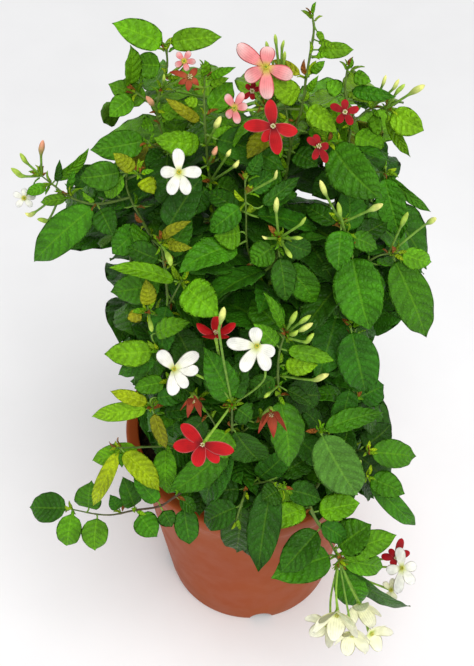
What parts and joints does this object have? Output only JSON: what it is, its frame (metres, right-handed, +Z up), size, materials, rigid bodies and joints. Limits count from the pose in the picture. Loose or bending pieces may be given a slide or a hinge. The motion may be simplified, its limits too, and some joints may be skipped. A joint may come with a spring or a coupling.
{
  "type": "potted rangoon creeper",
  "caption": "Bushy flowering climber with opposite leaves, long-tubed star flowers in white, pink and red, and a trailing sprig, in a tapered pot with a rolled rim.",
  "frame": {"origin": "centre of the pot's flat underside, on the floor", "axes": "+Z up, -Y towards the plant's front, where the flowers hang over the rim; +X to the right seen from the front"},
  "size_m": [0.3893, 0.4362, 0.7489],
  "materials": {
    "pot": "satin terracotta-coloured plastic",
    "soil": "rough dark compost",
    "plant": "slightly glossy green leaves and stems",
    "petal_white": "soft white petals",
    "petal_cream": "soft cream petals",
    "petal_pink": "soft pink petals",
    "petal_red": "soft red petals",
    "petal_crimson": "soft crimson petals",
    "petal_spent": "withered reddish brown petals"
  },
  "bodies": {
    "root": {"pot": "pot", "soil": "soil", "shoot_crown_left": "plant", "shoot_crown_middle": "plant", "shoot_crown_right": "plant", "shoot_right_top": "plant", "shoot_right_middle": "plant", "shoot_middle": "plant", "shoot_left_top": "plant", "shoot_left_middle": "plant", "shoot_white_flowers": "plant", "shoot_centre_right": "plant", "shoot_right_low": "plant", "shoot_left_low": "plant", "shoot_trailing": "plant", "shoot_hanging": "plant", "shoot_skirt": "plant", "shoot_back_right": "plant", "shoot_back_right_inner": "plant", "shoot_back": "plant", "shoot_back_left_inner": "plant", "shoot_back_left": "plant", "corolla_white_left": "petal_white", "corolla_white_middle_left": "petal_white", "corolla_white_middle": "petal_white", "corolla_red_drooping": "petal_red", "corolla_white_right_low": "petal_white", "corolla_red_right_low": "petal_crimson", "corolla_cream_right_low": "petal_cream", "corolla_hanging_left": "petal_cream", "corolla_hanging_middle_left": "petal_white", "corolla_hanging_middle": "petal_white", "corolla_hanging_middle_right": "petal_white", "corolla_hanging_right": "petal_cream", "corolla_pink_top": "petal_pink", "corolla_red_top": "petal_red", "corolla_pink_half_open": "petal_pink", "corolla_crimson_back": "petal_crimson", "corolla_crimson_right": "petal_crimson", "corolla_crimson_lower": "petal_crimson", "corolla_pale_top_left": "petal_pink", "corolla_spent_top_left": "petal_spent", "corolla_white_far_left": "petal_white", "corolla_red_side": "petal_red", "corolla_spent_left": "petal_spent", "corolla_withered": "petal_spent"}
  },
  "joints": []
}
